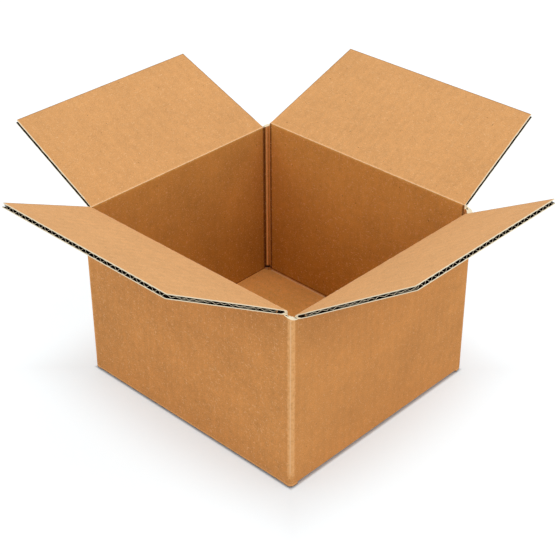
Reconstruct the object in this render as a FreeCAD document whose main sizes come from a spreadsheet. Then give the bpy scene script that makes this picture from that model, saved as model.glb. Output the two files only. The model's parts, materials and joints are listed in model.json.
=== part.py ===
"""Open slotted box of corrugated board, folded from one blank.

The box stands on its closed bottom, with its four top flaps folded out. +Z is up, the
origin is the centre of the underside, and all lengths are in millimetres. The long
walls face -Y (front) and +Y (back), the short walls face -X (left) and +X (right).
The walls, the closed bottom and the glued side joint are one solid, and each top flap
is a solid of its own that turns about its crease. The flaps show the fluted board at
their cut edges: two liners with a wavy medium between them.
"""
import FreeCAD, Part
import math
import os
import re
import Sketcher

DIMENSIONS = {
    # The box over its outer faces. The height is that of the long walls' creases.
    "outer_length": 200.0,
    "outer_width": 185.0,
    "body_height": 137.0,
    # The board: thickness over both liners, one liner, and the wavy medium.
    "board": 3.2,
    "liner": 0.4,
    "medium": 0.4,
    # The flutes: pitch, foot and shoulder width of one channel, rise of its crown,
    # the length crushed flat beside the crease, and the least solid beside the last.
    "flute_pitch": 6.5,
    "channel_foot": 4.5,
    "channel_shoulder": 2.1,
    "channel_crown": 0.35,
    "crushed_length": 8.0,
    "flute_margin": 1.0,
    # The slots between flaps, from the outer face of the neighbouring wall.
    "slot_setback": 6.5,
    "slot_drop": 0.5,
    # The creases: depth of the fold line under the outer face, the gap that stands
    # for the crushed board, and the slope of the bevel on the outer side.
    "hinge_inset": 0.8,
    "crease_gap": 0.4,
    "outer_bevel_angle": 15.0,
    # The flaps: running clearance at the ends of the crease, clearance between the
    # two layers when closed, gap where two flaps meet.
    "flap_end_clearance": 0.4,
    "closing_clearance": 0.3,
    "meeting_gap": 1.6,
    # The slope of each flap's side cuts, in degrees. The bottom's is that of the two
    # outer flaps.
    "front_taper_angle": 10.5,
    "back_taper_angle": 4.5,
    "left_taper_angle": 2.5,
    "right_taper_angle": 10.0,
    "bottom_taper_angle": 3.0,
    # How far each flap is folded out from upright, in degrees.
    "front_open_angle": 62.0,
    "back_open_angle": 66.0,
    "left_open_angle": 66.0,
    "right_open_angle": 58.0,
    # The upright folds: outer radius, depth of the crushed band on the inner side,
    # and the double bead that the creasing wheel leaves in the corner.
    "corner_radius": 3.6,
    "crush_depth": 0.7,
    "bead_reach": 1.6,
    "bead_valley": 0.5,
    "bead_radius": 0.9,
    # The bottom folds: outer radius, and how far the short walls and the corners stay
    # above the surface that the box stands on. The two outer bottom flaps meet this
    # far behind the middle.
    "fold_radius": 3.0,
    "short_wall_lift": 1.2,
    "corner_lift": 1.5,
    "bottom_seam_shift": 2.0,
    # The two inner bottom flaps: gap along the long walls, and length of the cut at
    # their corners.
    "floor_side_gap": 0.9,
    "floor_corner_cut": 2.4,
    # The glued side joint: width of the tab, slope and clearance of its ends, and the
    # seam that the cut end of the right wall leaves on the outside.
    "tab_width": 32.0,
    "tab_end_angle": 12.0,
    "tab_end_gap": 8.0,
    "seam_offset": 2.2,
    "seam_width": 0.6,
    "seam_depth": 2.7,
}

LONG = "outer_length"
SHORT = "outer_width"
LONG_TOP = "body_height"
SHORT_TOP = "(body_height - board - closing_clearance)"
FLAP_REACH = "(outer_width / 2 - hinge_inset - meeting_gap / 2)"
FLUTE_ZONE = "(board - 2 * liner)"
BOTTOM_REACH = "(outer_width / 2 - meeting_gap / 2)"
BEVEL_DROP = "(hinge_inset / tan(outer_bevel_angle))"

doc = FreeCAD.newDocument("open_box")
params = doc.addObject("Spreadsheet::Sheet", "params")
for row, (alias, number) in enumerate(DIMENSIONS.items(), start=1):
    params.set(f"A{row}", alias)
    params.set(f"B{row}", str(number))
    params.setAlias(f"B{row}", alias)
doc.recompute()


def bound(expression):
    """The expression with each dimension's name pointed at its spreadsheet cell."""
    def cell(word):
        return f"params.{word[0]}" if word[0] in DIMENSIONS else word[0]

    return re.sub(r"[a-z_]+", cell, expression)


def value(expression):
    """The present value of an expression in the dimensions."""
    return float(params.evalExpression(bound(expression)))


def origin_part(body, role):
    """A plane or an axis of the body's own origin."""
    return next(feature for feature in body.Origin.OriginFeatures if feature.Role == role)


def new_sketch(body, name, plane, height=None):
    """An empty sketch on one of the body's origin planes, raised by height if given."""
    sketch = body.newObject("Sketcher::SketchObject", name)
    sketch.AttachmentSupport = [(origin_part(body, plane), "")]
    sketch.MapMode = "FlatFace"
    if height:
        sketch.setExpression("AttachmentOffset.Base.z", bound(height))
    return sketch


def arc_towards(start, end, radius, bulge):
    """The short arc from start to end that bulges towards a point, and whether it runs anticlockwise."""
    chord = end - start
    across = FreeCAD.Vector(-chord.y, chord.x, 0).normalize()
    anticlockwise = across.dot(bulge - start) < 0
    if anticlockwise:
        across = -across
    reach = math.sqrt(radius ** 2 - (chord.Length / 2) ** 2)
    centre = (start + end) / 2 - across * reach
    first = math.atan2(start.y - centre.y, start.x - centre.x)
    last = math.atan2(end.y - centre.y, end.x - centre.x)
    if not anticlockwise:
        first, last = last, first
    round_edge = Part.Circle(centre, FreeCAD.Vector(0, 0, 1), radius)
    return Part.ArcOfCircle(round_edge, first, last), anticlockwise


def outline(sketch, corners):
    """A closed outline whose corners are bound to the dimensions.

    A corner is (x, y), reached by a straight line, or (x, y, radius, bulge), reached by
    an arc of that radius that bulges towards the point bulge.
    """
    spots = [FreeCAD.Vector(value(corner[0]), value(corner[1]), 0) for corner in corners]
    sides = []
    for index, corner in enumerate(corners):
        start = spots[index - 1]
        end = spots[index]
        if len(corner) == 2:
            edge = sketch.addGeometry(Part.LineSegment(start, end), False)
            sides.append((edge, 1, 2))
            continue
        bulge = FreeCAD.Vector(value(corner[3][0]), value(corner[3][1]), 0)
        arc, anticlockwise = arc_towards(start, end, value(corner[2]), bulge)
        edge = sketch.addGeometry(arc, False)
        sides.append((edge, 1, 2) if anticlockwise else (edge, 2, 1))
    first_side = sides[0][0]
    for index, (edge, near, far) in enumerate(sides):
        following = sides[(index + 1) % len(sides)]
        sketch.addConstraint(Sketcher.Constraint("Coincident", edge, far, following[0], following[1]))
        for kind, spot, text in (("DistanceX", spots[index].x, corners[index][0]),
                                 ("DistanceY", spots[index].y, corners[index][1])):
            number = sketch.addConstraint(Sketcher.Constraint(kind, -1, 1, edge, far, spot))
            name = f"{kind.lower()}_{first_side}_{index}"
            sketch.renameConstraint(number, name)
            sketch.setExpression(f"Constraints.{name}", bound(text))
        if len(corners[index]) == 4:
            radius = corners[index][2]
            number = sketch.addConstraint(Sketcher.Constraint("Radius", edge, value(radius)))
            name = f"radius_{first_side}_{index}"
            sketch.renameConstraint(number, name)
            sketch.setExpression(f"Constraints.{name}", bound(radius))


def pad_both_ways(body, name, sketch, length):
    """A pad of the sketch, half of its length to each side of the sketch plane."""
    pad = body.newObject("PartDesign::Pad", name)
    pad.Profile = sketch
    pad.Midplane = True
    pad.setExpression("Length", bound(length))
    return pad


def pad_up(body, name, sketch, length):
    """A pad of the sketch along its normal."""
    pad = body.newObject("PartDesign::Pad", name)
    pad.Profile = sketch
    pad.setExpression("Length", bound(length))
    return pad


def signed(sign, expression):
    """The expression, negated for a piece on the negative side."""
    return f"({expression})" if sign > 0 else f"-({expression})"


def wall(name, along, side, top, lift):
    """One wall with its upper crease bevels and its bottom fold, as one profile.

    The profile is drawn across the wall, by the depth inwards from the outer face,
    and padded along the wall between the two slots. A short wall's lift leaves room
    under its fold for the ends of the long walls' bottom flaps.
    """
    body = doc.addObject("PartDesign::Body", name)
    across = SHORT if along == LONG else LONG
    floor = "0" if lift is None else "board"
    low = "0" if lift is None else lift
    peak = f"{top} - crease_gap / 2"

    def at(depth, height):
        return (signed(side, f"{across} / 2 - ({depth})"), height)

    corners = [
        (*at("0", f"{low} + fold_radius"), "fold_radius", at("0", low)),
        at("0", f"{peak} - {BEVEL_DROP}"),
        at("hinge_inset", peak),
        at("board", f"{peak} - (board - hinge_inset)"),
        at("board", f"{floor} + board"),
        at("slot_setback", f"{floor} + board"),
        at("slot_setback", floor),
        at("fold_radius", low),
    ]
    sketch = new_sketch(body, f"{name}_profile", "YZ_Plane" if along == LONG else "XZ_Plane")
    outline(sketch, corners)
    pad_both_ways(body, f"{name}_pad", sketch, f"{along} - 2 * slot_setback")
    return body


def corner_post(name, side_x, side_y):
    """The board round one upright fold, with its crushed band and double bead."""
    body = doc.addObject("PartDesign::Body", name)

    def at(depth_x, depth_y):
        x = signed(side_x, f"outer_length / 2 - ({depth_x})")
        y = signed(side_y, f"outer_width / 2 - ({depth_y})")
        return (x, y)

    band = "board - crush_depth"
    band_end = "slot_setback - crush_depth"
    bead_end = "board + bead_reach"
    valley = "board + bead_valley"
    corners = [
        at("slot_setback", "0"),
        at("corner_radius", "0"),
        (*at("0", "corner_radius"), "corner_radius", at("0", "0")),
        at("0", "slot_setback"),
        at("board", "slot_setback"),
        at(band, band_end),
        at(band, bead_end),
        (*at(valley, valley), "bead_radius", at(bead_end, bead_end)),
        (*at(bead_end, band), "bead_radius", at(bead_end, bead_end)),
        at(band_end, band),
        at("slot_setback", "board"),
    ]
    sketch = new_sketch(body, f"{name}_section", "XY_Plane", "corner_lift")
    outline(sketch, corners)
    pad_up(body, f"{name}_pad", sketch, f"{SHORT_TOP} - slot_drop - corner_lift")
    return body


def bottom_flap(name, along, side, level, stations):
    """One bottom flap from the end of its fold to its free edge.

    The stations run down one side of the flap: half of its width there, and the
    distance from the wall's outer face.
    """
    body = doc.addObject("PartDesign::Body", name)
    across = SHORT if along == LONG else LONG

    def at(run, inwards):
        distance = signed(side, f"{across} / 2 - ({inwards})")
        return (run, distance) if along == LONG else (distance, run)

    sketch = new_sketch(body, f"{name}_outline", "XY_Plane", level)
    one_side = [at(half, inwards) for half, inwards in stations]
    other_side = [at(f"-({half})", inwards) for half, inwards in reversed(stations)]
    outline(sketch, one_side + other_side)
    pad_up(body, f"{name}_pad", sketch, "board")
    return body


def outer_bottom_flap(name, side, shift):
    """A long wall's bottom flap, with tapered sides. It lies under the other two."""
    root = f"({LONG} / 2 - slot_setback)"
    depth = f"({BOTTOM_REACH} + {shift})"
    tip = f"({root} - ({depth} - slot_setback) * tan(bottom_taper_angle))"
    return bottom_flap(name, LONG, side, None, [(root, "slot_setback"), (tip, depth)])


def inner_bottom_flap(name, side):
    """A short wall's bottom flap, which fills the floor between the long walls.

    Beside its fold the corners are cut away, which leaves a small hole in each corner
    of the box.
    """
    root = f"({SHORT} / 2 - slot_setback)"
    edge = f"({SHORT} / 2 - board - floor_side_gap)"
    shoulder = "(slot_setback + floor_corner_cut)"
    stations = [(root, "slot_setback"), (edge, shoulder), (edge, BOTTOM_REACH)]
    return bottom_flap(name, SHORT, side, "board", stations)


def glue_tab():
    """The tab that the back wall carries round the corner, glued inside the right wall."""
    body = doc.addObject("PartDesign::Body", "glue_tab")
    root = "outer_width / 2 - board / 2"
    tip = "outer_width / 2 - board - tab_width"
    low = "2 * board + tab_end_gap"
    high = f"{SHORT_TOP} - tab_end_gap"
    rise = "tab_width * tan(tab_end_angle)"
    sketch = new_sketch(body, "glue_tab_outline", "YZ_Plane", "outer_length / 2 - 2 * board")
    outline(sketch, [(root, low), (root, high), (tip, f"{high} - {rise}"), (tip, f"{low} + {rise}")])
    pad_up(body, "glue_tab_pad", sketch, "board")
    return body


def seam_cutter():
    """The slit outside the right wall, where its cut end meets the back wall's fold."""
    cutter = doc.addObject("Part::Box", "seam_cutter")
    cutter.setExpression("Length", bound("2 * seam_depth"))
    cutter.setExpression("Width", bound("seam_width"))
    cutter.setExpression("Height", bound("body_height"))
    cutter.setExpression("Placement.Base.x", bound("outer_length / 2 - seam_depth"))
    cutter.setExpression("Placement.Base.y", bound("outer_width / 2 - seam_offset - seam_width"))
    return cutter


def box_shell():
    """Walls, upright folds, closed bottom and side joint, fused into the folded blank."""
    pieces = [
        wall("front_wall", LONG, -1, LONG_TOP, None),
        wall("back_wall", LONG, 1, LONG_TOP, None),
        wall("left_wall", SHORT, -1, SHORT_TOP, "short_wall_lift"),
        wall("right_wall", SHORT, 1, SHORT_TOP, "short_wall_lift"),
        outer_bottom_flap("front_bottom", -1, "bottom_seam_shift"),
        outer_bottom_flap("back_bottom", 1, "(-bottom_seam_shift)"),
        inner_bottom_flap("left_bottom", -1),
        inner_bottom_flap("right_bottom", 1),
        glue_tab(),
    ]
    for side_x, word_x in ((-1, "left"), (1, "right")):
        for side_y, word_y in ((-1, "front"), (1, "back")):
            pieces.append(corner_post(f"{word_y}_{word_x}_fold", side_x, side_y))
    doc.recompute()
    blank = doc.addObject("Part::MultiFuse", "folded_blank")
    blank.Shapes = pieces
    blank.Refine = True
    shell = doc.addObject("Part::Cut", "box_shell")
    shell.Base = blank
    shell.Tool = seam_cutter()
    shell.Refine = True
    return shell


def top_flap(name, along, side, crease_height, taper, open_angle):
    """One top flap, drawn upright about its crease and then folded out.

    The crease lies on the body's own origin. The flap's outer face is hinge_inset
    outside it, its root is bevelled both ways, its sides taper, and rows of channels
    run up from the crushed strip to the free edge.
    """
    body = doc.addObject("PartDesign::Body", name)
    lengthwise = along == LONG
    half = f"({along} / 2 - slot_setback - flap_end_clearance)"
    free_half = f"({half} - {FLAP_REACH} * tan({taper}))"
    root = "crease_gap / 2"

    profile = new_sketch(body, f"{name}_profile", "YZ_Plane" if lengthwise else "XZ_Plane")
    outline(profile, [
        ("0", root),
        (signed(side, "hinge_inset"), f"{root} + {BEVEL_DROP}"),
        (signed(side, "hinge_inset"), FLAP_REACH),
        (signed(side, "hinge_inset - board"), FLAP_REACH),
        (signed(side, "hinge_inset - board"), f"{root} + board - hinge_inset"),
    ])
    pad_both_ways(body, f"{name}_board", profile, f"2 * {half}")

    trims = new_sketch(body, f"{name}_trims", "XZ_Plane" if lengthwise else "YZ_Plane")
    spare_top = f"({FLAP_REACH} + board)"
    for end in (-1, 1):
        outline(trims, [
            (signed(end, half), "0"),
            (signed(end, f"{half} + board"), "0"),
            (signed(end, f"{half} + board"), spare_top),
            (signed(end, f"{half} - {spare_top} * tan({taper})"), spare_top),
        ])
    trim = body.newObject("PartDesign::Pocket", f"{name}_side_cuts")
    trim.Profile = trims
    trim.Type = "ThroughAll"
    trim.Midplane = True

    count = f"floor((2 * {free_half} - 2 * flute_margin) / flute_pitch)"
    first = f"(-(2 * {count} - 1) * flute_pitch / 4)"
    channels = new_sketch(body, f"{name}_channel_pair", "XY_Plane", FLAP_REACH)
    crown_radius = "((channel_shoulder / 2)^2 + channel_crown^2) / (2 * channel_crown)"

    def at(run, height):
        outward = signed(side, f"hinge_inset - liner - ({height})")
        return (run, outward) if lengthwise else (outward, run)

    for middle, foot, crown, step in ((first, "0", f"{FLUTE_ZONE} - medium", -1),
                                      (f"({first} + flute_pitch / 2)", FLUTE_ZONE, "medium", 1)):
        shoulder = f"{crown} + {step} * channel_crown"
        outline(channels, [
            at(f"{middle} - channel_foot / 2", foot),
            at(f"{middle} + channel_foot / 2", foot),
            at(f"{middle} + channel_shoulder / 2", shoulder),
            (*at(f"{middle} - channel_shoulder / 2", shoulder), crown_radius, at(middle, crown)),
        ])
    pocket = body.newObject("PartDesign::Pocket", f"{name}_channels")
    pocket.Profile = channels
    pocket.setExpression("Length", bound(f"{FLAP_REACH} - crushed_length"))
    doc.recompute()

    flutes = body.newObject("PartDesign::LinearPattern", f"{name}_flutes")
    flutes.Originals = [pocket]
    flutes.Direction = (origin_part(body, "X_Axis" if lengthwise else "Y_Axis"), [""])
    flutes.setExpression("Length", bound(f"({count} - 1) * flute_pitch"))
    flutes.setExpression("Occurrences", bound(count))
    body.Tip = flutes

    hinge_offset = signed(side, f"{'outer_width' if lengthwise else 'outer_length'} / 2 - hinge_inset")
    axis = FreeCAD.Vector(-side, 0, 0) if lengthwise else FreeCAD.Vector(0, side, 0)
    body.Placement = FreeCAD.Placement(FreeCAD.Vector(0, 0, 0), FreeCAD.Rotation(axis, value(open_angle)))
    body.setExpression("Placement.Base.y" if lengthwise else "Placement.Base.x", bound(hinge_offset))
    body.setExpression("Placement.Base.z", bound(crease_height))
    body.setExpression("Placement.Rotation.Angle", bound(open_angle))
    return body


def check_document(nodes):
    """Stop if any object failed or any finished piece isn't one sound solid."""
    for item in doc.Objects:
        if {"Invalid", "Error"} & set(item.State):
            raise RuntimeError(f"{item.Name} did not compute: {item.State}")
    for node in nodes:
        shape = node.Shape
        if shape.isNull() or not shape.isValid() or len(shape.Solids) != 1:
            raise RuntimeError(f"{node.Label} is not one valid solid")


def main():
    """Build every piece, check it and write it to its own file."""
    nodes = [
        box_shell(),
        top_flap("front_flap", LONG, -1, LONG_TOP, "front_taper_angle", "front_open_angle"),
        top_flap("back_flap", LONG, 1, LONG_TOP, "back_taper_angle", "back_open_angle"),
        top_flap("left_flap", SHORT, -1, SHORT_TOP, "left_taper_angle", "left_open_angle"),
        top_flap("right_flap", SHORT, 1, SHORT_TOP, "right_taper_angle", "right_open_angle"),
    ]
    doc.recompute()
    check_document(nodes)
    os.makedirs("parts", exist_ok=True)
    for node in nodes:
        node.Shape.exportStep(f"parts/{node.Label}.step")
        box = node.Shape.BoundBox
        print(f"{node.Label}: {node.Shape.Volume / 1000:.2f} cm3, {len(node.Shape.Faces)} faces, "
              f"x {box.XMin:.1f} to {box.XMax:.1f}, y {box.YMin:.1f} to {box.YMax:.1f}, "
              f"z {box.ZMin:.1f} to {box.ZMax:.1f}")


main()
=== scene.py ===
# %% [markdown]
# # An open corrugated box
# This lesson dresses a small brown shipping box. Its walls and bottom come ready-made
# as one solid, and four flaps hang on it. What makes corrugated board look real is its
# cut edge: two thin paper liners with a wavy sheet between them and dark hollows in
# the waves. So the flaps are built here from real sheets, the folds are built as bent
# strips that follow the flaps, and the paper itself is painted by shader nodes.

# %% Load the fixed frame
import json
import math
import random

import bmesh
import bpy
from mathutils import Matrix, Vector


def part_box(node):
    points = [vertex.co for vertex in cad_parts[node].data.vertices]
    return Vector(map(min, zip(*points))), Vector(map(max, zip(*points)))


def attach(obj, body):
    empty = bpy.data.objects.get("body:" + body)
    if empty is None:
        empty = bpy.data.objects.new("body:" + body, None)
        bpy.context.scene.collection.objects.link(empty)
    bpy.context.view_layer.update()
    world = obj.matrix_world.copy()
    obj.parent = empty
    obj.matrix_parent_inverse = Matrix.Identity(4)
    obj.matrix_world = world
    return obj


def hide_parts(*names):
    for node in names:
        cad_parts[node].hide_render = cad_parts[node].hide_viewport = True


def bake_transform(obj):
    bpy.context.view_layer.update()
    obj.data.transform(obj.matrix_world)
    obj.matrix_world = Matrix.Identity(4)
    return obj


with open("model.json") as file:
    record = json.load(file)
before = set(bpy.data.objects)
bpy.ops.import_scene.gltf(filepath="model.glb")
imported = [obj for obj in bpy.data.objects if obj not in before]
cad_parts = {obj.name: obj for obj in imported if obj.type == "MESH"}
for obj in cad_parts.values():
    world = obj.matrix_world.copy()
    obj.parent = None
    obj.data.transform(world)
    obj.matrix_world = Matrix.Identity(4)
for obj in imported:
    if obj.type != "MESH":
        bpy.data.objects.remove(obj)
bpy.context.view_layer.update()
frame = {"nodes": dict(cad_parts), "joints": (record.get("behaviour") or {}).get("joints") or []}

MM = 0.001
print("pieces in the frame:", sorted(frame["nodes"]))

# %% [markdown]
# The box's own sizes are read off the frame, so that every sheet lands where the solid
# is: the shell gives length and width, and each hinge gives its crease line and how far
# its flap stands open. Only the sizes of the board itself are written down here.

# %% Sizes
shell_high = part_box("box_shell")[1]
HALF_LENGTH = shell_high.x
HALF_WIDTH = shell_high.y

BOARD = 3.2 * MM
LINER = 0.55 * MM
FLUTE_PITCH = 6.5 * MM
HINGE_INSET = 0.8 * MM
MEETING_GAP = 1.6 * MM
SLOT_SETBACK = 6.5 * MM
END_CLEARANCE = 0.4 * MM
INNER_DEPTH = BOARD - HINGE_INSET
FLAP_REACH = HALF_WIDTH - HINGE_INSET - MEETING_GAP / 2

UPRIGHT = 90.0
TURNS = {"front": 0.0, "right": 90.0, "back": 180.0, "left": 270.0}
TAPERS = {"front": 10.5, "back": 4.5, "left": 2.5, "right": 10.0}
HINGES = {joint["name"].split("_")[0]: joint for joint in frame["joints"]}


def hinge_place(side):
    """The middle of a flap's crease line."""
    return Vector(HINGES[side]["pos_m"])


def open_angle(side):
    """How far a flap leans out from upright, in radians, from its closing range."""
    return math.radians(-HINGES[side]["range_deg"][0] - UPRIGHT)


def half_span(side):
    """Half of the wall that a flap hangs on."""
    return HALF_LENGTH if side in ("front", "back") else HALF_WIDTH


for side in TURNS:
    print(side, "flap open by", round(math.degrees(open_angle(side)), 1), "degrees")

# %% [markdown]
# ## Camera, floor and light
# The photograph looks down into the box past its nearest corner. The camera is placed
# by two angles and a distance from a point in the box's mouth. A white floor with a
# soft shadow and a big soft light overhead are all that a product picture needs. For
# camera rays alone, the floor shines a little, so it turns out white while the light
# on the box stays plain.

# %% Camera
FRAME_PIXELS = 555
FOCAL_PIXELS = 1373.5
SENSOR = 36.0
VIEW_AZIMUTH = math.radians(43.73)
VIEW_ELEVATION = math.radians(32.58)
VIEW_ROLL = math.radians(-0.14)
VIEW_DISTANCE = 0.9437
VIEW_TARGET = Vector((0.02153, -0.02278, 0.100))

towards_camera = Vector((
    math.sin(VIEW_AZIMUTH) * math.cos(VIEW_ELEVATION),
    -math.cos(VIEW_AZIMUTH) * math.cos(VIEW_ELEVATION),
    math.sin(VIEW_ELEVATION),
))
camera = bpy.data.objects.new("camera", bpy.data.cameras.new("camera"))
bpy.context.scene.collection.objects.link(camera)
camera.data.sensor_width = SENSOR
camera.data.lens = SENSOR * FOCAL_PIXELS / FRAME_PIXELS
camera.location = VIEW_TARGET + towards_camera * VIEW_DISTANCE
camera.rotation_mode = "QUATERNION"
aim = towards_camera.to_track_quat("Z", "Y")
camera.rotation_quaternion = aim @ Matrix.Rotation(VIEW_ROLL, 3, "Z").to_quaternion()
bpy.context.scene.camera = camera
print("camera lens", round(camera.data.lens, 1), "mm")

# %% [markdown]
# ## A small language for shader maths
# A paper shader is mostly arithmetic on numbers that vary over the surface. Wiring
# Math nodes one by one hides that, so a small class wraps a socket and lets Python's
# own operators add the nodes.

# %% Shader maths
class Wire:
    """A socket's value. Arithmetic on it adds Math nodes to its tree."""

    def __init__(self, recipe, socket):
        self.recipe = recipe
        self.socket = socket

    def maths(self, operation, *values):
        return self.recipe.add("ShaderNodeMath", {"operation": operation}, dict(enumerate(values)))

    def __add__(self, other):
        return self.maths("ADD", self, other)

    __radd__ = __add__

    def __sub__(self, other):
        return self.maths("SUBTRACT", self, other)

    def __rsub__(self, other):
        return self.maths("SUBTRACT", other, self)

    def __mul__(self, other):
        return self.maths("MULTIPLY", self, other)

    __rmul__ = __mul__

    def __abs__(self):
        return self.maths("ABSOLUTE", self)

    def least(self, other):
        return self.maths("MINIMUM", self, other)

    def most(self, other):
        return self.maths("MAXIMUM", self, other)

    def over(self, limit):
        return self.maths("GREATER_THAN", self, limit)

    def sine(self):
        return self.maths("SINE", self)

    def ramp(self, low, high):
        """0 at low, 1 at high and a smooth rise between them. High may be the smaller one."""
        return self.recipe.add("ShaderNodeMapRange", {"interpolation_type": "SMOOTHSTEP"},
                               {"Value": self, "From Min": low, "From Max": high})


class Recipe:
    """A material and its node tree."""

    def __init__(self, name):
        self.material = bpy.data.materials.new(name)
        self.material.use_nodes = True
        self.tree = self.material.node_tree
        self.tree.nodes.clear()
        self.place = self.add("ShaderNodeTexCoord", {}, {}, "Object")

    def add(self, kind, settings, inputs, output=0):
        """Any node: its settings first, then the values or wires of its sockets."""
        node = self.tree.nodes.new(kind)
        for key, setting in settings.items():
            setattr(node, key, setting)
        for key, given in inputs.items():
            if isinstance(given, Wire):
                self.tree.links.new(given.socket, node.inputs[key])
            else:
                node.inputs[key].default_value = given
        return Wire(self, node.outputs[output]) if len(node.outputs) else None

    def axes(self):
        """The three coordinates of the shaded point, in metres."""
        return [self.add("ShaderNodeSeparateXYZ", {}, {"Vector": self.place}, axis) for axis in "XYZ"]

    def noise(self, scale, detail=2.0, stretch=(1, 1, 1), seed=0.0):
        """Smooth noise round 0.5, scale blobs to the metre, finer along a stretch over 1."""
        spot = self.add("ShaderNodeVectorMath", {"operation": "MULTIPLY"}, {0: self.place, 1: stretch})
        moved = self.add("ShaderNodeVectorMath", {"operation": "ADD"}, {0: spot, 1: (seed, seed, seed)})
        return self.add("ShaderNodeTexNoise", {}, {"Vector": moved, "Scale": scale, "Detail": detail})

    def blend(self, share, first, second):
        """The first colour at share 0 and the second at share 1."""
        return self.add("ShaderNodeMix", {"data_type": "RGBA"}, {0: share, 6: first, 7: second}, 2)

    def shade(self, colour, factor):
        """The colour made lighter or darker by a factor."""
        given = colour if isinstance(colour, Wire) else colour[:3]
        return self.add("ShaderNodeVectorMath", {"operation": "SCALE"}, {0: given, "Scale": factor})

    def finish(self, colour, roughness, gloss, height=None, depth=0.0):
        """Ends the tree in a surface, with a bump where a height is given."""
        inputs = {"Base Color": colour, "Roughness": roughness, "Specular IOR Level": gloss}
        if height is not None:
            inputs["Normal"] = self.add("ShaderNodeBump", {}, {"Height": height, "Distance": depth})
        surface = self.add("ShaderNodeBsdfPrincipled", {}, inputs)
        self.add("ShaderNodeOutputMaterial", {}, {"Surface": surface})
        return self.material


print("shader maths ready")

# %% [markdown]
# ## The paper
# Unbleached kraft paper is never one brown. Seen close it has cloudy patches, a fine
# grain, short pale and dark fibres that lie every way, a few dark specks, and on
# corrugated board a faint stripe over each flute. Where board is folded or rubbed, the
# fibres break and the paper turns pale. The same pale tone is also painted on folds as a
# highlight, and some cut edges are painted dark as shade. Each of these is one line of
# maths below, and one recipe serves every sheet.

# %% Paper
PALE_TONE = (1.0, 0.66, 0.36, 1.0)
HIGHLIGHT_AND_WEAR_TONE = (1.0, 0.54, 0.22, 1.0)
DARK_TONE = (0.17, 0.058, 0.010, 1.0)
CUT_TONE = (1.0, 0.88, 0.64, 1.0)
HOLLOW_TONE = (0.010, 0.006, 0.004, 1.0)


def kraft(name, along, paint, wear_and_light_map, uneven=0.15):
    """Brown paper. Its flutes follow along, paint gives its tone, and wear_and_light_map says where it is
    rubbed pale and where a highlight is painted.

    A value over 0.6 lays the cream core of the paper bare, and a value below 0 is an edge painted dark as
    shade.
    """
    recipe = Recipe(name)
    x, y, z = recipe.axes()
    flutes = (along(x, y, z) * (2 * math.pi / FLUTE_PITCH)).sine()
    patches = recipe.noise(22, 2, seed=3.1) - 0.5
    mottle = recipe.noise(170, 3, seed=7.7) - 0.5
    grain = recipe.noise(1500, 2, seed=1.3) - 0.5
    threads = [
        recipe.noise(400, 1, (1, 3.8, 3.8), 5.0),
        recipe.noise(400, 1, (3.8, 1, 3.8), 9.0),
        recipe.noise(400, 1, (3.8, 3.8, 1), 15.0),
    ]
    fibres = sum(thread.ramp(0.65, 0.76) for thread in threads)
    shreds = sum(thread.ramp(0.33, 0.23) for thread in threads)
    specks = recipe.noise(520, 1, seed=21.0).ramp(0.75, 0.80)
    light = patches * uneven + mottle * 0.24 + grain * 0.55 + flutes * 0.012 + 1
    tone = recipe.shade(paint(recipe, x, y, z), light)
    tone = recipe.blend(fibres * 0.5, tone, PALE_TONE)
    tone = recipe.blend(shreds * 0.2, tone, DARK_TONE)
    tone = recipe.blend(specks * 0.6, tone, DARK_TONE)
    # Pale marks from here are rubbed paper and painted highlights. Values below 0 paint shade along edges.
    wear_and_light = wear_and_light_map(recipe, x, y, z)
    ragged = (wear_and_light + (recipe.noise(560, 2, seed=13.0) - 0.5) * wear_and_light.ramp(0.0, 0.2)).ramp(0.15, 0.8)
    tone = recipe.blend(ragged * 0.85, tone, HIGHLIGHT_AND_WEAR_TONE)
    tone = recipe.blend(wear_and_light.ramp(0.6, 0.95) * 0.8, tone, CUT_TONE)
    tone = recipe.blend(wear_and_light.ramp(-0.1, -0.6) * 0.6, tone, DARK_TONE)
    height = grain * 0.4 + flutes * 0.3 + fibres * 0.2 + mottle * 0.5
    return recipe.finish(tone, 0.82, 0.15, height, 0.1 * MM)


def follow_x(x, y, z):
    return x


def follow_y(x, y, z):
    return y


def stored_wear_and_light(recipe, x, y, z):
    """The wear and painted light that a sheet's own points carry."""
    return recipe.add("ShaderNodeAttribute", {"attribute_name": "wear_and_light"}, {}, "Fac")


def plain(tone):
    """Paper of one tone, for kraft."""
    return lambda recipe, x, y, z: tone


# %% Papers of the flaps
OUTER_TONE = (0.725, 0.320, 0.093, 1.0)
FAR_TONE = (0.775, 0.393, 0.145, 1.0)
NEAR_TONE = (0.800, 0.425, 0.172, 1.0)
INNER_TONES = {"front": NEAR_TONE, "right": NEAR_TONE, "back": FAR_TONE, "left": FAR_TONE}

PAPERS = {}
for side, tone in INNER_TONES.items():
    follow = follow_x if side in ("front", "back") else follow_y
    PAPERS[side, "inner"] = kraft(f"kraft_{side}_inner", follow, plain(tone), stored_wear_and_light)
    PAPERS[side, "outer"] = kraft(f"kraft_{side}_outer", follow, plain(OUTER_TONE), stored_wear_and_light)
print("flap papers:", len(PAPERS))

# %% [markdown]
# The shell is one solid with both faces of the board on it, so its recipe works out
# from the coordinates what is where. A point less than half a board's thickness from
# the outside is outer liner. Inside, the walls are painted darker towards the bottom as
# shade, and the short walls a tone darker than the long ones, also as shade. Outside, the
# walls are painted darker towards the top as the shade under the flaps, the upright folds
# carry a painted highlight that also stands for rubbed paper, and the bottom edge carries
# a painted contact shadow under a painted highlight line. Inside, the upright folds carry
# painted shade and painted highlights for the grooves and ridges that the creasing wheel
# pressed, a black patch painted as the shade in the hole at their foot, and dark lines
# where the floor meets the walls.

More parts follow.
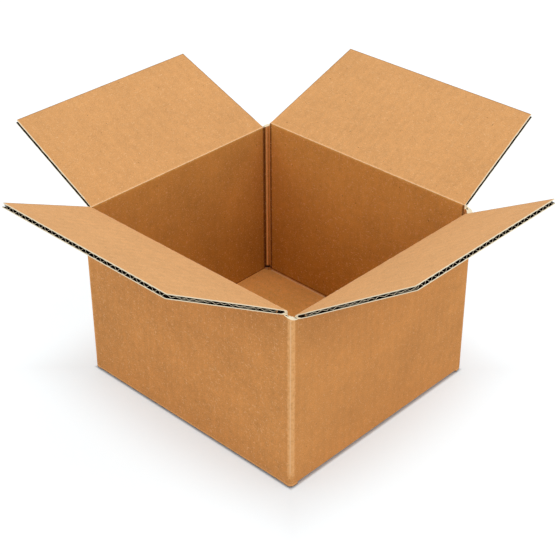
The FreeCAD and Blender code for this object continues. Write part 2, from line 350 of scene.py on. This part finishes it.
# %% Paper of the shell
# Painted shade for the grooves and painted highlights for the ridges that the creasing wheel left inside a
# corner, and pale stripes in the painted highlight on the outer fold.
# In millimetres across the fold: the middle of each line, its reach to either side, and its strength.
GROOVE_SHADE_LINES = ((2.2, 1.5, 1.0), (-3.0, 0.8, 1.0), (-0.9, 0.5, 0.5))
RIDGE_HIGHLIGHT_LINES = ((0.15, 0.9, 1.0), (-1.9, 0.7, 0.5))
HIGHLIGHT_BAND_LINES = ((2.0, 0.5, 1.0), (-0.5, 0.5, 1.0))
CORNER_REACH = 9.5 * MM
HOLE_REACH = 3.4 * MM
INNER_WALL_LIT_TONE = (0.700, 0.336, 0.080, 1.0)
INNER_WALL_SHADED_TONE = (0.515, 0.240, 0.036, 1.0)
FLOOR_TONE = (0.885, 0.432, 0.112, 1.0)
FLOOR_TOP = 2 * BOARD


def gaps_to_walls(x, y):
    """How far in a point lies from the long walls' outer faces and from the short ones'."""
    return HALF_WIDTH - abs(y), HALF_LENGTH - abs(x)


def bump(value, middle, reach):
    """1 where the value is at the middle, and 0 further off than reach."""
    return abs(value - middle).ramp(reach, reach * 0.35)


def lines_along_fold(over, lines):
    """The lines of one kind that run along an upright fold."""
    return sum(bump(over, middle * MM, reach * MM) * strength for middle, reach, strength in lines)


def across_fold(x, y):
    """How far sideways of an upright fold a point lies, below 0 on the long wall's side."""
    to_long, to_short = gaps_to_walls(x, y)
    return (to_long - to_short) * math.sqrt(0.5)


def shell_along(x, y, z):
    to_long, to_short = gaps_to_walls(x, y)
    use_y = (to_long - to_short).over(0.0).most(z.ramp(2.2 * BOARD, 2.1 * BOARD))
    return y * use_y + x * (1 - use_y)


def shell_paint(recipe, x, y, z):
    to_long, to_short = gaps_to_walls(x, y)
    depth = to_long.least(to_short)
    inside = depth.least(z).over(BOARD * 0.55)
    # Painted shade: the inner walls darken towards the bottom.
    wall = recipe.blend(z.ramp(130 * MM, 5 * MM), INNER_WALL_LIT_TONE, INNER_WALL_SHADED_TONE)
    # Painted shade: the short inner walls are made a tone darker than the long ones.
    wall = recipe.shade(wall, 1.05 - (to_long - to_short).over(0.0) * 0.1)
    on_floor = z.ramp(FLOOR_TOP + 0.4 * MM, FLOOR_TOP + 0.2 * MM)
    # Painted shade: the outer walls darken towards the top, under the leaning flaps.
    outer = recipe.shade(OUTER_TONE, 1.03 - z.ramp(90 * MM, 130 * MM) * 0.12)
    tone = recipe.blend(inside, outer, recipe.blend(on_floor, wall, FLOOR_TONE))
    corner = to_long.most(to_short).ramp(CORNER_REACH, CORNER_REACH - 0.5 * MM) * inside * (1 - on_floor)
    over = across_fold(x, y)
    # Painted shade in the grooves and painted highlights on the ridges of each inner upright fold.
    tone = recipe.blend(lines_along_fold(over, GROOVE_SHADE_LINES) * corner * 0.85, tone, DARK_TONE)
    tone = recipe.blend(lines_along_fold(over, RIDGE_HIGHLIGHT_LINES) * corner * 0.85, tone, HIGHLIGHT_AND_WEAR_TONE)
    foot = bump(z, FLOOR_TOP + 0.3 * MM, 1.1 * MM) * (1 - on_floor) * inside
    tone = recipe.blend(foot * 0.9, tone, DARK_TONE)
    # A black patch painted as the shade inside the hole at the foot of each inner upright fold.
    hole_shade = bump(over, 0.0, HOLE_REACH) * corner * bump(z, FLOOR_TOP + 0.6 * MM, 2.6 * MM)
    tone = recipe.blend(hole_shade, tone, HOLLOW_TONE)
    rim = bump(to_long, BOARD + 1.3 * MM, 0.9 * MM) * on_floor * inside
    tone = recipe.blend(rim * 0.9, tone, PALE_TONE)
    # Painted contact shadow along the outer bottom edge, with a painted highlight line just above it.
    skirt = depth.ramp(2.4 * MM, 1.8 * MM) * (1 - inside)
    tone = recipe.blend(bump(z, 2.7 * MM, 0.9 * MM) * skirt * 0.6, tone, HIGHLIGHT_AND_WEAR_TONE)
    return recipe.blend(z.ramp(2.0 * MM, 1.5 * MM) * skirt * 0.9, tone, HOLLOW_TONE)


def shell_highlight_and_wear(recipe, x, y, z):
    to_long, to_short = gaps_to_walls(x, y)
    over = across_fold(x, y)
    # Painted highlight on the rounded outer upright folds, pale like rubbed paper, with faint stripes along
    # it.
    band = to_long.most(to_short).ramp(5.2 * MM, 2.0 * MM)
    outside = to_long.least(to_short).ramp(BOARD * 0.6, BOARD * 0.5)
    lines = lines_along_fold(over, HIGHLIGHT_BAND_LINES)
    return (band * 0.6 + lines * band * 0.12) * outside * z.ramp(2 * MM, 14 * MM)


shell_paper = kraft("kraft_shell", shell_along, shell_paint, shell_highlight_and_wear, uneven=0.34)
for slot in frame["nodes"]["box_shell"].material_slots:
    slot.material = shell_paper

# %% [markdown]
# ## Cut edges and hollows
# A knife cut shows clean pale fibres, so a cut edge is nearly cream. Inside the flutes
# hardly any light returns, so the hollows are painted almost black.

# %% Cut paper and hollow
def cut_paper():
    recipe = Recipe("cut_paper")
    fuzz = recipe.noise(900, 2, seed=2.0)
    tone = recipe.blend(fuzz.ramp(0.35, 0.75) * 0.2, CUT_TONE, PALE_TONE)
    return recipe.finish(tone, 0.9, 0.1, fuzz, 0.1 * MM)


def hollow():
    recipe = Recipe("flute_hollow")
    tone = recipe.blend(recipe.noise(700, 1).ramp(0.45, 0.9) * 0.1, HOLLOW_TONE, DARK_TONE)
    return recipe.finish(tone, 1.0, 0.0)


CUT = cut_paper()
HOLLOW = hollow()
print("cut edge and hollow made")

# %% [markdown]
# ## Sheets and slabs
# Every layer of the board starts as a flat grid and gets its thickness by extrusion.
# A flap is drawn upright, with its crease on the X axis, its outer face towards -Y and
# its free edge up, and is folded out and set on its hinge at the end.

# %% Helpers for sheets
FACE_SLOTS = {"inner": 0, "outer": 1, "cut": 2, "hollow": 3, "wall": 4}


def upright_grid(bm, columns, rows):
    """A grid that stands in the XZ plane, from -1 to 1 across and from 0 to 1 up."""
    grid = bmesh.ops.create_grid(bm, x_segments=columns, y_segments=rows, size=1.0)["verts"]
    bmesh.ops.rotate(bm, verts=grid, cent=(0, 0, 0), matrix=Matrix.Rotation(math.radians(90), 3, "X"))
    bmesh.ops.scale(bm, verts=grid, vec=(1, 1, 0.5))
    bmesh.ops.translate(bm, verts=grid, vec=(0, 0, 0.5))
    return grid


def thicken(bm, verts, step, near, far):
    """Extrudes the sheet that these points span by step, and paints its two faces and its rim."""
    sheet = list({face for vert in verts for face in vert.link_faces})
    edges = list({edge for face in sheet for edge in face.edges})
    known = set(bm.faces)
    result = bmesh.ops.extrude_face_region(bm, geom=sheet + edges + list(verts), use_keep_orig=True)
    moved = [item for item in result["geom"] if isinstance(item, bmesh.types.BMVert)]
    bmesh.ops.translate(bm, verts=moved, vec=step)
    top = {item for item in result["geom"] if isinstance(item, bmesh.types.BMFace)}
    for face in sheet:
        face.material_index = FACE_SLOTS[near]
    for face in bm.faces:
        if face not in known:
            face.material_index = FACE_SLOTS[far if face in top else "cut"]
    return moved


def finished(name, bm, side):
    """A closed mesh object in the side's papers, with faces pointing out and soft shading on bends."""
    bmesh.ops.remove_doubles(bm, verts=bm.verts, dist=0.001 * MM)
    bmesh.ops.recalc_face_normals(bm, faces=bm.faces)
    open_edges = sum(1 for edge in bm.edges if len(edge.link_faces) != 2)
    mesh = bpy.data.meshes.new(name)
    bm.to_mesh(mesh)
    bm.free()
    for material in (PAPERS[side, "inner"], PAPERS[side, "outer"], CUT, HOLLOW, shell_paper):
        mesh.materials.append(material)
    mesh.shade_smooth()
    mesh.set_sharp_from_angle(angle=math.radians(32))
    piece = bpy.data.objects.new(name, mesh)
    bpy.context.scene.collection.objects.link(piece)
    print(name, "faces", len(mesh.polygons), "open edges", open_edges)
    return piece


# %% [markdown]
# ## The flaps
# One flap is two liners, the wavy medium glued between them, and a dark filling behind
# the cut, because no light comes out of flutes that deep. A knife also cuts the sides,
# along the flutes, and there it leaves the medium crumpled: a narrow zigzag strip
# stands for it.

# %% Flap layers
ROOT = 6.0 * MM
CRUSHED = 8.0 * MM
JITTER = 0.07 * MM
EDGE_STRIP = 0.9 * MM
MEDIUM = 0.26 * MM
LINER_COLUMNS = 72
LINER_ROWS = 34
SIDE_STRIP = 1.5 * MM
HOLLOW_SETBACK = 1.6 * MM
FRESH_END = {"front": 1, "right": -1, "back": -1, "left": 1}


def half_at(side, reach):
    """Half of a flap's width at a height above its crease."""
    root_half = half_span(side) - SLOT_SETBACK - END_CLEARANCE
    return root_half - reach * math.tan(math.radians(TAPERS[side]))


def lay_out(verts, side, low, high, depth, margin=0.0):
    """Spreads a grid over the flap from low to high, at a depth outwards from the crease line."""
    for vert in verts:
        reach = low + (high - low) * vert.co.z
        vert.co = Vector((vert.co.x * (half_at(side, reach) - margin), -depth, reach))


def narrow_edges(verts, side):
    """Draws the outermost lines of a liner's grid together, so that its cut edges can be painted."""
    last_column = 1 - 2 / LINER_COLUMNS
    last_row = 1 - 1 / LINER_ROWS
    for vert in verts:
        if abs(abs(vert.co.x) - last_column) < 0.5 / LINER_COLUMNS:
            vert.co.x = math.copysign(1 - EDGE_STRIP / half_at(side, FLAP_REACH), vert.co.x)
        if abs(vert.co.z - last_row) < 0.25 / LINER_ROWS:
            vert.co.z = 1 - EDGE_STRIP / FLAP_REACH


def rag(verts, side, dice, wear_and_light):
    """Roughens a liner's cut edges by a little. Fresh edges are marked frayed and pale, and the others are
    painted dark as shade.
    """
    for vert in verts:
        if not vert.is_boundary or vert.co.z < ROOT + 0.1 * MM:
            continue
        on_side = abs(vert.co.x) > half_at(side, vert.co.z) - 0.1 * MM
        fresh = vert.co.x * FRESH_END[side] > 0 if on_side else side in ("front", "right")
        vert[wear_and_light] = 1.5 if fresh else -0.8
        vert.co.x += dice.uniform(-JITTER, JITTER)
        vert.co.z += dice.uniform(-JITTER, 0)


def liner(bm, side, dice, wear_and_light, depth, step, near, far):
    """One liner of a flap: its visible face at a depth, its thickness along step."""
    verts = upright_grid(bm, LINER_COLUMNS, LINER_ROWS)
    narrow_edges(verts, side)
    lay_out(verts, side, ROOT, FLAP_REACH - JITTER, depth)
    rag(verts, side, dice, wear_and_light)
    thicken(bm, verts, (0, step, 0), near, far)


def medium(bm, side, dice):
    """The wavy sheet between the liners, cut off along the flap's slanted sides."""
    room = BOARD - 2 * LINER
    middle = HINGE_INSET - BOARD / 2
    swing = (room - MEDIUM) / 2
    half = half_at(side, CRUSHED)
    waves = math.ceil(2 * half / FLUTE_PITCH)
    bends = [dice.uniform(-0.7, 0.7) for _ in range(waves + 2)]
    verts = upright_grid(bm, waves * 14, 3)
    for vert in verts:
        reach = CRUSHED + (FLAP_REACH - 0.25 * MM - CRUSHED) * vert.co.z
        run = vert.co.x * half
        turn = (run + half) / FLUTE_PITCH
        drift = bends[int(turn)] * (1 - turn % 1) + bends[int(turn) + 1] * (turn % 1)
        wave = max(-1.0, min(1.0, 1.35 * math.sin(2 * math.pi * turn + drift)))
        vert.co = Vector((run, -middle - swing * wave - MEDIUM / 2, reach))
    slope = math.tan(math.radians(TAPERS[side]))
    for end in (-1, 1):
        around = {edge for vert in verts if vert.is_valid for edge in vert.link_edges}
        faces = {face for vert in verts if vert.is_valid for face in vert.link_faces}
        whole = [vert for vert in verts if vert.is_valid] + list(around) + list(faces)
        cut = bmesh.ops.bisect_plane(
            bm, geom=whole, dist=0.0001 * MM, clear_outer=True,
            plane_co=(end * (half_at(side, 0) - SIDE_STRIP), 0, 0),
            plane_no=Vector((end, 0, slope)).normalized(),
        )
        verts = [item for item in cut["geom"] if isinstance(item, bmesh.types.BMVert)]
        verts = list(set(verts + [item for item in cut["geom_cut"] if isinstance(item, bmesh.types.BMVert)]))
    verts = [vert for vert in verts if vert.is_valid]
    thicken(bm, verts, (0, MEDIUM, 0), "hollow", "hollow")


def filling(bm, side):
    """The dark body of air behind the cut edges."""
    verts = upright_grid(bm, 6, 4)
    lay_out(verts, side, ROOT, FLAP_REACH - HOLLOW_SETBACK, HINGE_INSET - 1.2 * LINER, HOLLOW_SETBACK)
    thicken(bm, verts, (0, BOARD - 2.4 * LINER, 0), "hollow", "hollow")
    for face in {face for vert in verts for edge in vert.link_edges for face in edge.link_faces}:
        face.material_index = FACE_SLOTS["hollow"]


def side_zigzag(bm, side, end, dice):
    """The crumpled medium along one side cut."""
    near = side in ("front", "right")
    count = int((FLAP_REACH - CRUSHED) / (FLUTE_PITCH * (0.48 if near else 0.9)))
    verts = upright_grid(bm, 1, count)
    room = (BOARD - 3.2 * LINER) / 2
    middle = HINGE_INSET - BOARD / 2
    swings = [dice.uniform(0.3, 1.0) * (1 if step % 2 else -1) for step in range(count + 1)]
    shifts = [dice.uniform(-0.3, 0.3) for _ in range(count + 1)]
    for vert in verts:
        step = round(vert.co.z * count)
        reach = CRUSHED * 0.8 + (FLAP_REACH - CRUSHED) * (step + shifts[step]) / count
        reach = min(reach, FLAP_REACH - 0.4 * MM)
        inset = (0.3 if near else 0.7) * MM if vert.co.x * end > 0 else SIDE_STRIP
        across = end * (half_at(side, reach) - inset)
        vert.co = Vector((across, -middle - room * swings[step] - MEDIUM * 0.4, reach))
    thicken(bm, verts, (0, MEDIUM * 0.8, 0), "hollow", "hollow")


# %% Flap boards
def flap_board(side):
    """One flap from just above its crease to its free edge."""
    dice = random.Random(f"{side} flap")
    bm = bmesh.new()
    wear_and_light = bm.verts.layers.float.new("wear_and_light")
    liner(bm, side, dice, wear_and_light, -INNER_DEPTH, -LINER, "inner", "hollow")
    liner(bm, side, dice, wear_and_light, HINGE_INSET, LINER, "outer", "hollow")
    medium(bm, side, dice)
    filling(bm, side)
    for end in (-1, 1):
        side_zigzag(bm, side, end, dice)
    fold_out = Matrix.Rotation(open_angle(side), 4, "X")
    turn = Matrix.Rotation(math.radians(TURNS[side]), 4, "Z")
    bm.transform(Matrix.Translation(hinge_place(side)) @ turn @ fold_out)
    return finished(f"{side}_flap_board", bm, side)


for side in TURNS:
    board = flap_board(side)
    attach(board, f"{side}_flap")
    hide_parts(f"{side}_flap")

# %% [markdown]
# ## The creases
# At a crease the board is pressed thin, so it bends there and nowhere else. Each
# crease is one closed strip: its section is drawn round the crease line, from the top
# of the wall to the root of the flap, rounded by a bevel and pulled along the fold.
# Its lower part lies on the wall, its upper part on the flap, and the thin middle is bent
# to the flap's open angle.

# %% Crease sections
WALL_END = 6.0 * MM
SHOULDER = 3.1 * MM
PROUD = 0.07 * MM
PINCH = 0.45 * MM
CREASE_STEPS = 110
HIGHLIGHT_AND_WEAR_WIDTH = 1.9 * MM
FRAYING = 0.1 * MM
HOLLOW_START = 0.3 * MM


def on_flap(angle, outwards, reach):
    """A section point given by its place on the flap, as outward distance and height."""
    return Vector((
        math.sin(angle) * reach + math.cos(angle) * outwards,
        math.cos(angle) * reach - math.sin(angle) * outwards,
    ))


def crease_section(angle):
    """The strip's outline round the crease line, with how far each corner is rounded."""
    middle = Vector((math.cos(angle / 2), -math.sin(angle / 2)))
    meeting = (INNER_DEPTH * math.cos(angle) - INNER_DEPTH - PROUD) / math.sin(angle)
    return [
        (Vector((HINGE_INSET + PROUD, -WALL_END)), 0),
        (Vector((HINGE_INSET + PROUD, -SHOULDER)), 0.9 * MM),
        (middle * PINCH, 0.4 * MM),
        (on_flap(angle, HINGE_INSET, SHOULDER), 0.9 * MM),
        (on_flap(angle, HINGE_INSET, ROOT), 0),
        (on_flap(angle, -INNER_DEPTH, ROOT), 0),
        (on_flap(angle, -INNER_DEPTH, meeting), 0.8 * MM),
        (Vector((-INNER_DEPTH - PROUD, -WALL_END)), 0),
    ]


def along_board(angle, point):
    """How far past the crease a strip's point lies along the board: below 0 on the wall."""
    return math.cos(angle / 2) * point.z - math.sin(angle / 2) * point.y


def cut_across(bm, angle, past):
    """A loop of edges round the whole strip, parallel to the crease."""
    normal = Vector((0, -math.sin(angle / 2), math.cos(angle / 2)))
    whole = bm.verts[:] + bm.edges[:] + bm.faces[:]
    bmesh.ops.bisect_plane(bm, geom=whole, plane_co=normal * past, plane_no=normal)


def paint_crease(bm, angle):
    """Liners on the long faces, a pale cut on the ends, and the first of the hollow on the flap's side."""
    caps = [face for face in bm.faces if abs(face.normal.x) > 0.9]
    for face in bm.faces:
        centre = face.calc_center_median()
        outwards, height = -centre.y, centre.z
        depth = math.cos(angle) * outwards - math.sin(angle) * height
        on_wall = along_board(angle, centre) < 0
        face.material_index = FACE_SLOTS["wall" if on_wall else "outer" if depth > -HINGE_INSET else "inner"]
    for face in caps:
        face.material_index = FACE_SLOTS["cut"]
    flap_caps = [face for face in caps if along_board(angle, face.calc_center_median()) > HOLLOW_START]
    bmesh.ops.inset_region(bm, faces=flap_caps, thickness=LINER, use_boundary=True, use_even_offset=True)
    for face in flap_caps:
        face.material_index = FACE_SLOTS["hollow"]
    for end in (-1, 1):
        tip = {vert for face in flap_caps for vert in face.verts
               if vert.co.x * end > 0 and along_board(angle, vert.co) < HOLLOW_START + 1.3 * LINER}
        middle = sum((vert.co for vert in tip), Vector()) / len(tip)
        for vert in tip:
            vert.co = vert.co.lerp(middle, 0.85)
    lean = Vector((0, -math.sin(angle), math.cos(angle)))
    for vert in {vert for face in flap_caps for vert in face.verts}:
        if lean.dot(vert.co) > ROOT - 1.5 * LINER:
            vert.co += lean * (ROOT - 0.02 * MM - lean.dot(vert.co))


def crease_strip(side):
    """The bent strip of board over one crease."""
    angle = open_angle(side)
    dice = random.Random(f"{side} crease")
    half = half_span(side) - SLOT_SETBACK + PROUD
    bm = bmesh.new()
    wear_and_light = bm.verts.layers.float.new("wear_and_light")
    corners = [(bm.verts.new((-half, -spot.x, spot.y)), rounding) for spot, rounding in crease_section(angle)]
    bm.faces.new([vert for vert, _ in corners])
    for vert, rounding in corners:
        if rounding:
            bmesh.ops.bevel(bm, geom=[vert], offset=rounding, segments=3, profile=0.5,
                            affect="VERTICES", clamp_overlap=True, material=-1)
    body = bmesh.ops.extrude_face_region(bm, geom=bm.faces[:], use_keep_orig=True)
    far = [item for item in body["geom"] if isinstance(item, bmesh.types.BMVert)]
    bmesh.ops.translate(bm, verts=far, vec=(2 * half, 0, 0))
    for past in (-HIGHLIGHT_AND_WEAR_WIDTH, HOLLOW_START, HIGHLIGHT_AND_WEAR_WIDTH):
        cut_across(bm, angle, past)
    bm.normal_update()
    paint_crease(bm, angle)
    long_edges = [edge for edge in bm.edges if edge.calc_length() > half]
    bmesh.ops.subdivide_edges(bm, edges=long_edges, cuts=CREASE_STEPS, use_grid_fill=True)
    root_half = half_at(side, ROOT)
    for vert in bm.verts:
        past = along_board(angle, vert.co)
        # The crease line is painted pale, as rubbed paper and as a painted highlight, strongest in the middle
        # of the bend.
        vert[wear_and_light] = max(0.0, 1 - abs(past) / HIGHLIGHT_AND_WEAR_WIDTH)
        share = min(1.0, max(0.0, past / SHOULDER))
        vert.co.x *= 1 - share * (1 - root_half / half)
        if vert[wear_and_light] > 0.2 and abs(vert.co.x) < half - 1 * MM:
            vert.co.z += dice.uniform(-FRAYING, FRAYING)
    turn = Matrix.Rotation(math.radians(TURNS[side]), 4, "Z")
    bm.transform(Matrix.Translation(hinge_place(side)) @ turn)
    strip = finished(f"{side}_crease_fold", bm, side)
    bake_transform(strip)
    return strip


for side in TURNS:
    crease_strip(side)

# %% [markdown]
# ## The slots
# Between two flaps the board is cut down to the corner of the box. The cut shows as a
# pale rim that runs round the corner with the board, and on each arm of it the end of
# the last flute is painted dark, as the shade inside the open flute.

# %% Slot rims
RIM_LOW = 0.6 * MM
RIM_HIGH = 3.6 * MM
CORNER_RADIUS = 3.6 * MM
LAST_FLUTE = 3.9 * MM
FOLD_SECTION = [
    (6.5, 0.0), (0.0, 0.0), (0.0, 6.5), (3.2, 6.5), (2.5, 5.8), (2.5, 4.8),
    (3.45, 4.63), (3.7, 3.7), (4.63, 3.45), (4.8, 2.5), (5.8, 2.5), (6.5, 3.2),
]


def slot_rim(name, side_x, side_y, low):
    """The cut end of the board round one upright fold. It rises from the short wall to the long one."""
    bm = bmesh.new()
    bm.verts.layers.float.new("wear_and_light")
    corners = [
        bm.verts.new((HALF_LENGTH - deep_x * MM, HALF_WIDTH - deep_y * MM, low))
        for deep_x, deep_y in FOLD_SECTION
    ]
    bm.faces.new(corners)
    bmesh.ops.bevel(bm, geom=[corners[1]], offset=CORNER_RADIUS, segments=6, profile=0.5,
                    affect="VERTICES", material=-1)
    block = bmesh.ops.extrude_face_region(bm, geom=bm.faces[:], use_keep_orig=True)
    for item in block["geom"]:
        if isinstance(item, bmesh.types.BMVert):
            over = (HALF_LENGTH - item.co.x) - (HALF_WIDTH - item.co.y)
            rise = (over + SLOT_SETBACK) / (2 * SLOT_SETBACK)
            item.co.z += RIM_LOW + (RIM_HIGH - RIM_LOW) * rise
    arms = (Vector((HALF_LENGTH - LAST_FLUTE, 0, 0)), Vector((0, HALF_WIDTH - LAST_FLUTE, 0)))
    for arm in arms:
        whole = bm.verts[:] + bm.edges[:] + bm.faces[:]
        bmesh.ops.bisect_plane(bm, geom=whole, plane_co=arm, plane_no=arm.normalized())
    bmesh.ops.recalc_face_normals(bm, faces=bm.faces)
    for face in bm.faces:
        face.material_index = FACE_SLOTS["cut" if face.normal.z > 0.5 else "wall"]
    for arm in arms:
        start = arm.normalized()
        # The end of the last flute is a flat face painted dark, as the shade inside it.
        hole_shade = [face for face in bm.faces
                if face.normal.z > 0.5 and start.dot(face.calc_center_median()) < arm.length]
        bmesh.ops.inset_region(bm, faces=hole_shade, thickness=LINER, use_boundary=True, use_even_offset=True)
        hole_points = {vert for face in hole_shade for vert in face.verts}
        tip = [vert for vert in hole_points if start.dot(vert.co) > arm.length - 1.3 * LINER]
        middle = sum((vert.co for vert in tip), Vector()) / len(tip)
        for vert in tip:
            vert.co = vert.co.lerp(middle, 0.85)
        for face in hole_shade:
            face.material_index = FACE_SLOTS["hollow"]
    bmesh.ops.scale(bm, verts=bm.verts, vec=(side_x, side_y, 1))
    piece = finished(name, bm, "front")
    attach(piece, "box")
    return piece


SLOT_FLOOR = hinge_place("left").z - 0.5 * MM
for side_x, word_x in ((-1, "left"), (1, "right")):
    for side_y, word_y in ((-1, "front"), (1, "back")):
        slot_rim(f"{word_y}_{word_x}_slot_rim", side_x, side_y, SLOT_FLOOR)

# %% [markdown]
# ## Floor and light
# The floor and the sky are white to the camera. For the box they are an even soft
# light, a little weaker from the sides than from above, which is what makes the
# leaning flaps bright and the walls a tone darker.

# %% Floor
FLOOR_SIZE = 12.0
FLOOR_GLOW_SHARE = 0.6
FLOOR_GLOW = 1.27
SHADOW_REACH = 60 * MM

floor_mesh = bpy.data.meshes.new("floor")
bm = bmesh.new()
bmesh.ops.create_grid(bm, x_segments=1, y_segments=1, size=FLOOR_SIZE / 2)
bm.to_mesh(floor_mesh)
bm.free()
floor = bpy.data.objects.new("floor", floor_mesh)
bpy.context.scene.collection.objects.link(floor)
floor_recipe = Recipe("white_floor")
x, y, z = floor_recipe.axes()
off_the_box = (abs(x) - HALF_LENGTH).most(abs(y) - HALF_WIDTH)
outside_box = off_the_box.ramp(-0.8 * MM, 1.2 * MM)
away = off_the_box.ramp(-10 * MM, SHADOW_REACH)
glow_share = outside_box * FLOOR_GLOW_SHARE * (away * 0.4 + 0.6)
matte = floor_recipe.add("ShaderNodeBsdfDiffuse", {}, {"Color": (0.84, 0.865, 0.88, 1.0)})
shine = floor_recipe.add("ShaderNodeEmission", {}, {"Color": (1.0, 1.05, 1.07, 1.0), "Strength": FLOOR_GLOW})
seen = floor_recipe.add("ShaderNodeLightPath", {}, {}, "Is Camera Ray")
mixed = floor_recipe.add("ShaderNodeMixShader", {}, {0: seen * glow_share, 1: matte, 2: shine})
floor_recipe.add("ShaderNodeOutputMaterial", {}, {"Surface": mixed})
floor_mesh.materials.append(floor_recipe.material)
print("floor", FLOOR_SIZE, "m across")

# %% Light
SKY_TONE = (0.97, 0.98, 1.0, 1.0)
WHITE_TONE = (1.0, 1.0, 1.0, 1.0)
SKY_STRENGTH = 0.80
SOFTBOX_POWER = 4.2
SOFTBOX_SIZE = 1.3
SOFTBOX_PLACE = Vector((0.35, 0.25, 1.5))

world = bpy.data.worlds.new("studio")
bpy.context.scene.world = world
world.use_nodes = True
sky = world.node_tree
sky.nodes.clear()
path = sky.nodes.new("ShaderNodeLightPath")
mixer = sky.nodes.new("ShaderNodeMixShader")
sky.links.new(path.outputs["Is Camera Ray"], mixer.inputs[0])
for place, colour, strength in ((1, SKY_TONE, SKY_STRENGTH), (2, WHITE_TONE, 1.0)):
    backdrop = sky.nodes.new("ShaderNodeBackground")
    backdrop.inputs["Color"].default_value = colour
    backdrop.inputs["Strength"].default_value = strength
    sky.links.new(backdrop.outputs[0], mixer.inputs[place])
world_output = sky.nodes.new("ShaderNodeOutputWorld")
sky.links.new(mixer.outputs[0], world_output.inputs["Surface"])

softbox = bpy.data.objects.new("softbox", bpy.data.lights.new("softbox", "AREA"))
bpy.context.scene.collection.objects.link(softbox)
softbox.data.shape = "DISK"
softbox.data.size = SOFTBOX_SIZE
softbox.data.energy = SOFTBOX_POWER
softbox.location = SOFTBOX_PLACE
softbox.rotation_euler = SOFTBOX_PLACE.to_track_quat("Z", "Y").to_euler()
bpy.context.scene.view_settings.view_transform = "Standard"
print("sky and softbox set")
